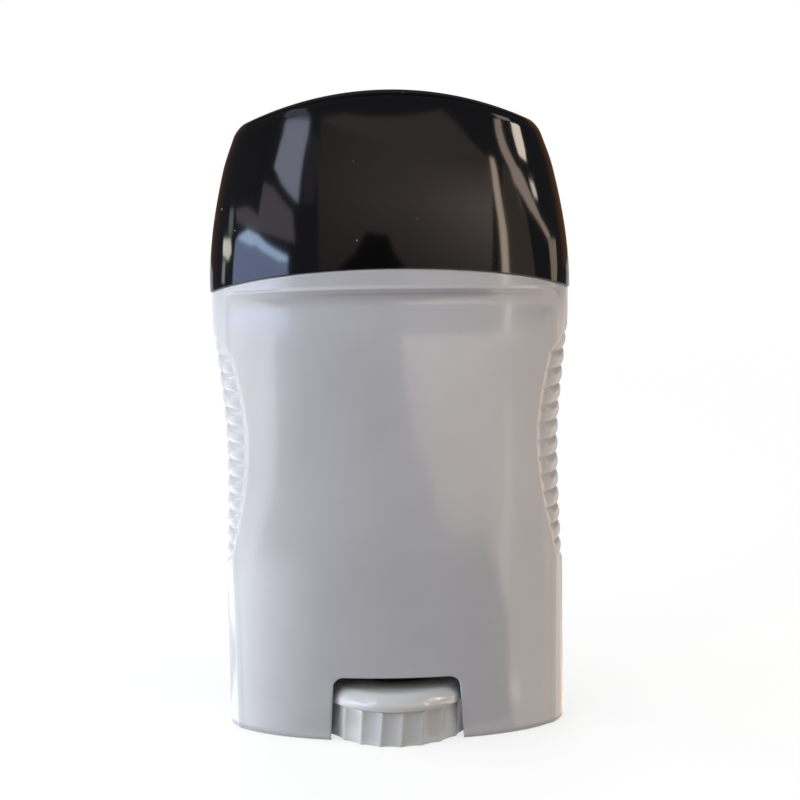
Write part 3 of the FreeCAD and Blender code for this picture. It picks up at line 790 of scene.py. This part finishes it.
def makeWorld():
    # white where it is seen, and the ambient level for the light that falls on things
    world = bpy.data.worlds.new("studio")
    bpy.context.scene.world = world
    world.use_nodes = True
    nodes, links = world.node_tree.nodes, world.node_tree.links
    strength = nodes.new("ShaderNodeMapRange")
    setSockets(strength, {"To Min": stage["ambient"], "To Max": 1.0})
    links.new(seenNode(nodes, links), strength.inputs["Value"])
    nodes["Background"].inputs["Color"].default_value = (1, 1, 1, 1)
    links.new(strength.outputs["Result"], nodes["Background"].inputs["Strength"])


# lamps: big soft boxes, placed by azimuth from the front towards +X, elevation and distance
lamps = {
    "left": {"azimuth": -60, "elevation": 12, "distance": 0.9, "size": (0.7, 0.4), "power": 6.7,
             "colour": (1, 0.98, 1)},
    "side": {"azimuth": -95, "elevation": 12, "distance": 0.9, "size": (0.7, 0.4), "power": 9.5,
             "colour": (0.98, 0.985, 1)},
    "right": {"azimuth": 66, "elevation": 16, "distance": 0.9, "size": (0.7, 0.5), "power": 5.0,
             "colour": (1, 0.84, 0.64)},
    "ahead": {"azimuth": 0, "elevation": 66, "distance": 1.0, "size": (0.7, 0.4), "power": 2.9,
             "colour": (0.7, 0.92, 1)},
    "above": {"azimuth": 0, "elevation": 89, "distance": 0.9, "size": (0.9, 0.9), "power": 1.5},
    "behind": {"azimuth": 180, "elevation": 40, "distance": 1.0, "size": (0.9, 0.6), "power": 4.0},
}


def addLamp(name, lamp):
    # a soft box aimed at the middle of the object; the cards give the gloss
    light = bpy.data.lights.new(name, "AREA")
    light.shape = "RECTANGLE"
    light.size, light.size_y = lamp["size"]
    light.energy, light.color = lamp["power"], lamp.get("colour", (1, 1, 1))
    holder = bpy.data.objects.new(name, light)
    bpy.context.collection.objects.link(holder)
    holder.visible_camera = holder.visible_glossy = False
    turn, rise = math.radians(lamp["azimuth"]), math.radians(lamp["elevation"])
    away = Vector((math.sin(turn) * math.cos(rise), -math.cos(turn) * math.cos(rise), math.sin(rise)))
    holder.location = Vector((0, 0, 0.06)) + away * lamp["distance"]
    holder.rotation_euler = (-away).to_track_quat("-Z", "Y").to_euler()


# cards that only the gloss sees; glow is what they give off. Standing ones have an azimuth and elevation
# from inside the cap: four corners (sight), which shares can grade, or an outline. Those on the floor have
# points in metres: one outline (floor), or rows of points with a level of glow for each (bands). A standing
# card is 0.51 m away unless it says otherwise
cards = {
    "flag": {"sight": ((-125, -9), (125, -9), (125, 89), (-125, 89)), "distance": 0.56,
        "glow": (0.115, 0.12, 0.137)},
    "flagLeft": {"sight": ((-181, -5), (-124, -5), (-124, 89), (-181, 89)), "distance": 0.57,
        "glow": (0.03, 0.03, 0.03)},
    "flagRight": {"sight": ((124, -5), (181, -5), (181, 89), (124, 89)), "distance": 0.57,
        "glow": (0.03, 0.03, 0.03)},
    "brownLeft": {"sight": ((-168, -5), (-110, -5), (-110, 30), (-168, 30)), "distance": 0.55,
        "glow": (0.2, 0.12, 0.09)},
    "brownRight": {"sight": ((110, -5), (168, -5), (168, 30), (110, 30)), "distance": 0.55,
        "glow": (0.32, 0.16, 0.08)},
    "wall": {"sight": ((-22, -8), (34, -8), (39, 21), (-24, 31)), "distance": 0.52,
        "glow": (1.5, 1.24, 1.12), "shares": ((0.16, 0.18, 0.32), (0.29, 0.5, 1), (0.24, 0.42, 0.3))},
    "wallTop": {"sight": ((-24, 31), (39, 21), (19, 33), (-15, 33)), "distance": 0.521,
        "glow": (0.6, 0.5, 0.44)},
    "visitor": {"outline": ((-18.5, -9), (-16, -3.5), (-10.5, 0.5), (-7, 5.6), (-0.3, 5), (1.5, 0.5),
        (5, -3.5), (5.7, -9)), "distance": 0.515, "glow": (0.02, 0.02, 0.02)},
    "window": {"outline": ((-28.5, 30), (-30, 25), (-31, 12), (-34.5, 13.6), (-40, 16), (-45, 19.5),
        (-44, 25), (-41, 28)), "glow": (3.2, 3.4, 4.3)},
    "windowHigh": {"outline": ((-41, 28), (-28.5, 30), (-60, 60), (-110, 60)), "glow": (0.85, 0.92, 1.2)},
    "windowDim": {"outline": ((-22.5, 27), (-24.8, 12), (-28.7, 12), (-29, 28)), "glow": (0.3, 0.28, 0.33)},
    "sill": {"outline": ((-50.7, 15.2), (-44, 14.8), (-33, 10), (-31.5, 3), (-37.4, 3.8), (-48.6, 5.2),
        (-72.4, 6.5), (-76.5, 8.6), (-61.6, 9.9), (-52.5, 8.7)), "glow": (1.19, 1.05, 1.25)},
    "bench": {"outline": ((-72, 3.3), (-59, 4.4), (-47, 2.8), (-34.4, -1.1), (-34.4, -9), (-74, -9)),
        "glow": (2.3, 2.9, 4.6)},
    "benchEdge": {"outline": ((-70.5, 3.6), (-59.5, 5.5), (-51.4, 4.6), (-45.6, 2.8), (-34.5, -0.1),
        (-34.4, -1.4), (-41, -1.2), (-46, 0.3), (-52, 1.8), (-61, 2.7)), "distance": 0.5,
        "glow": (6.5, 8.5, 12)},
    "slit": {"outline": ((-93, 2.4), (-79, 3.1), (-76, 0.6), (-80, -1.2), (-91.5, -0.4)),
        "glow": (9.5, 9.5, 8.5)},
    "slitLow": {"outline": ((-91, -1.5), (-85, -1.3), (-86.4, -7), (-92.4, -7)), "glow": (3, 3.1, 3.3)},
    "slitHigh": {"outline": ((-86.5, 8), (-79, 8.5), (-76.5, 4), (-83.4, 3.7)), "glow": (1.6, 1.8, 1.8)},
    "post": {"outline": ((38.7, 22), (41.2, 21.4), (42.2, 11.8), (43.3, 4.5), (43.1, -9), (39.7, -9),
        (39.4, 7), (38.6, 14.4)), "glow": (7, 5.6, 4.4)},
    "postFaint": {"outline": ((52.6, 12), (54.5, 11.4), (57.8, -0.2), (54.9, -0.8), (53.8, 5.4)),
        "glow": (1.5, 1.15, 0.85)},
    "corner": {"outline": ((44, -9), (62, -9), (58, 8), (46, 20), (43, 12)), "distance": 0.52,
        "glow": (0.62, 0.5, 0.4)},
    "rail": {"outline": ((45.4, 27), (49.9, 26.8), (56, 18), (66.3, 10.4), (73, 6.3), (84.7, 2.3),
        (78.2, 2.3), (61.6, 8.5), (51.7, 14.3), (46.7, 23.2)), "glow": (4.6, 3.6, 3)},
    "railFoot": {"outline": ((79.5, 2.3), (94.2, 1.3), (90.4, -8.3), (80.8, -8.3)), "glow": (3, 2.3, 1.7)},
    "lampHigh": {"outline": ((60.4, 26), (69.2, 25.8), (71.7, 23.7), (67.2, 18.6), (60.9, 21.1)),
        "distance": 0.505, "glow": (14, 12, 10.5)},
    "lampLow": {"outline": ((65.8, 13.7), (71.2, 12.8), (73.3, 9.9), (68.5, 10.5)), "distance": 0.505,
        "glow": (11, 9.5, 8.5)},
    "lampTop": {"outline": ((49, 27), (54, 27.5), (62, 27), (75, 40), (60, 45)), "glow": (3, 2.6, 2.4)},
    "table": {"floor": ((-1.2, -0.6), (0.6, -0.6), (0.6, -0.014), (-1.2, -0.014)), "height": 0.0005,
        "glow": (0.12, 0.1, 0.1)},
    "nearLeft": {"height": 0.0012, "glow": (3.0, 3.3, 3.4), "bands": (
        (1, ((-0.135, 0.02), (-0.1, 0.015), (-0.076, 0.012), (-0.055, 0.01), (-0.04, 0.006),
            (-0.034, 0.004), (-0.028, 0.002))),
        (1, ((-0.135, -0.022), (-0.1, -0.014), (-0.076, -0.009), (-0.058, -0.006), (-0.042, -0.005),
            (-0.035, -0.004), (-0.028, -0.003))),
        (0.85, ((-0.113, -0.067), (-0.086, -0.048), (-0.066, -0.033), (-0.051, -0.024), (-0.038, -0.015),
            (-0.032, -0.011), (-0.026, -0.006))),
        (0.5, ((-0.09, -0.088), (-0.07, -0.064), (-0.054, -0.045), (-0.043, -0.033), (-0.032, -0.021),
            (-0.028, -0.016), (-0.022, -0.008))),
        (0.2, ((-0.067, -0.101), (-0.052, -0.075), (-0.041, -0.053), (-0.033, -0.039), (-0.025, -0.025),
            (-0.022, -0.019), (-0.018, -0.01))),
        (0, ((-0.038, -0.11), (-0.031, -0.082), (-0.024, -0.059), (-0.019, -0.043), (-0.015, -0.029),
            (-0.013, -0.022), (-0.012, -0.012))))},
    "tableLeft": {"floor": ((-0.1, -0.02), (-0.12, -0.045), (-0.133, -0.086), (-0.141, -0.13),
        (-0.187, -0.192), (-0.272, -0.319), (-0.5, -0.6), (-1.2, -0.6), (-1.2, 0.1), (-0.09, 0.1),
        (-0.07, 0.02)), "height": 0.001, "glow": (3.0, 3.2, 3.1)},
    "tableFar": {"floor": ((-0.1, 0.0), (-0.14, -0.05), (-0.2, -0.11), (-0.25, -0.18), (-0.33, -0.3),
        (-0.62, -0.6), (-1.2, -0.6), (-1.2, 0.1), (-0.11, 0.1)), "height": 0.002, "glow": (2.2, 2.2, 2.1)},
    "tableRight": {"floor": ((0.06, -0.6), (0.051, -0.418), (0.025, -0.235), (0.044, -0.18),
        (0.036, -0.142), (0.051, -0.124), (0.078, -0.114), (0.071, -0.082), (0.059, -0.053),
        (0.0435, -0.036), (0.033, -0.024), (0.0255, -0.0145), (0.021, -0.008), (0.029, 0), (0.04, 0.02),
        (0.5, 0.4), (0.6, -0.6)), "height": 0.001, "glow": (2.2, 1.75, 1.45)},
    "tableBack": {"floor": ((0.02, -0.28), (0.4, -0.28), (0.5, -0.6), (0.03, -0.6)), "height": 0.0015,
        "glow": (3.4, 2.8, 2.6)},
    "streakNear": {"floor": ((0.062, -0.067), (0.086, -0.1), (0.15, -0.149), (0.187, -0.209), (0.2, -0.2),
        (0.16, -0.14), (0.1, -0.09), (0.068, -0.062)), "height": 0.002, "glow": (3.5, 2.9, 2.6)},
    "streakSide": {"floor": ((0.04, -0.007), (0.109, -0.012), (0.156, -0.038), (0.187, -0.056),
        (0.19, -0.048), (0.157, -0.03), (0.11, -0.004), (0.04, -0.003)), "height": 0.002,
        "glow": (3.2, 2.7, 2.3)},
    "streakLow": {"floor": ((0.035, -0.025), (0.027, -0.015), (0.03, -0.0145), (0.038, -0.024)),
        "height": 0.002, "glow": (4, 3.4, 2.8)},
}


def awayFrom(height, turn, rise, distance):
    # points seen from that height on the axis, at an azimuth, an elevation and a distance
    away = stack(np.sin(turn) * np.cos(rise), -np.cos(turn) * np.cos(rise), np.sin(rise))
    return distance * away + np.array([0, 0, height])


def cardShape(card, height=0.09, cells=16):
    # a card's points and faces, and its share of glow at each point where that isn't even
    if "bands" in card:
        grid = np.array([line for _, line in card["bands"]])
        points = stack(grid[..., 0], grid[..., 1], card["height"])
        levels = np.repeat([level for level, _ in card["bands"]], grid.shape[1])
        return points.reshape(-1, 3), gridFaces(*grid.shape[:2]).tolist(), levels
    if "sight" in card:  # azimuth and elevation run evenly between the four corners
        corner, at = np.radians(np.array(card["sight"])), np.linspace(0, 1, cells + 1)
        across, up = np.meshgrid(at, at)
        across, up = across[..., None], up[..., None]
        sight = (corner[0] * (1 - across) + corner[1] * across) * (1 - up)
        sight = sight + (corner[3] * (1 - across) + corner[2] * across) * up
        points = awayFrom(height, sight[..., 0], sight[..., 1], card.get("distance", 0.51))
        levels = None
        if "shares" in card:
            lines = np.array([np.interp(at, (0, 0.5, 1), line) for line in card["shares"]])
            levels = np.array([np.interp(at, (0, 0.62, 1), line) for line in lines.T]).T.ravel()
        return points.reshape(-1, 3), gridFaces(cells + 1, cells + 1).tolist(), levels
    if "outline" in card:
        points = awayFrom(height, *np.radians(np.array(card["outline"])).T, card.get("distance", 0.51))
    else:
        points = np.array([(x, y, card["height"]) for x, y in card["floor"]])
    return points, [tuple(range(len(points)))], None


def addCard(name, card):
    # a glowing card that nothing but the gloss sees
    points, faces, levels = cardShape(card)
    mesh = bpy.data.meshes.new(name)
    mesh.from_pydata(points.tolist(), [], faces)
    piece = bpy.data.objects.new(name, mesh)
    bpy.context.collection.objects.link(piece)
    piece.visible_camera = piece.visible_diffuse = piece.visible_transmission = piece.visible_shadow = False
    material, nodes, links, shader = newMaterial(name)
    nodes.remove(shader)
    glow = nodes.new("ShaderNodeEmission")
    strength = max(card["glow"])
    setSockets(glow, {"Color": (*[channel / strength for channel in card["glow"]], 1), "Strength": strength})
    if levels is not None:
        share = mesh.attributes.new("share", "FLOAT", "POINT")
        share.data.foreach_set("value", levels.astype(np.float32))
        level = nodes.new("ShaderNodeAttribute")
        level.attribute_name = "share"
        graded = mathNode(nodes, links, "MULTIPLY", level.outputs["Fac"], strength)
        links.new(graded, glow.inputs["Strength"])
    links.new(glow.outputs["Emission"], nodes["Material Output"].inputs["Surface"])
    mesh.materials.append(material)



makeFloor()
makeWorld()
for name, lamp in lamps.items():
    addLamp(name, lamp)
for name, card in cards.items():
    addCard(name, card)
print("stage, lamps and cards made")


# camera: its place in metres, its turns in degrees and its lens in millimetres
view = {"place": (0, -0.2872, 0.119), "down": 11.7, "aside": -0.29, "roll": -0.93, "lens": 74.7}


def makeCamera():
    camera = bpy.data.cameras.new("camera")
    camera.lens, camera.sensor_width = view["lens"], 36
    camera.clip_start = 0.01
    holder = bpy.data.objects.new("camera", camera)
    bpy.context.collection.objects.link(holder)
    holder.location = view["place"]
    aim = Euler((math.radians(90 - view["down"]), 0, math.radians(view["aside"]))).to_matrix()
    holder.rotation_euler = (aim @ Euler((0, 0, math.radians(view["roll"]))).to_matrix()).to_euler()
    bpy.context.scene.camera = holder


makeCamera()
bpy.context.scene.view_settings.view_transform = "Standard"
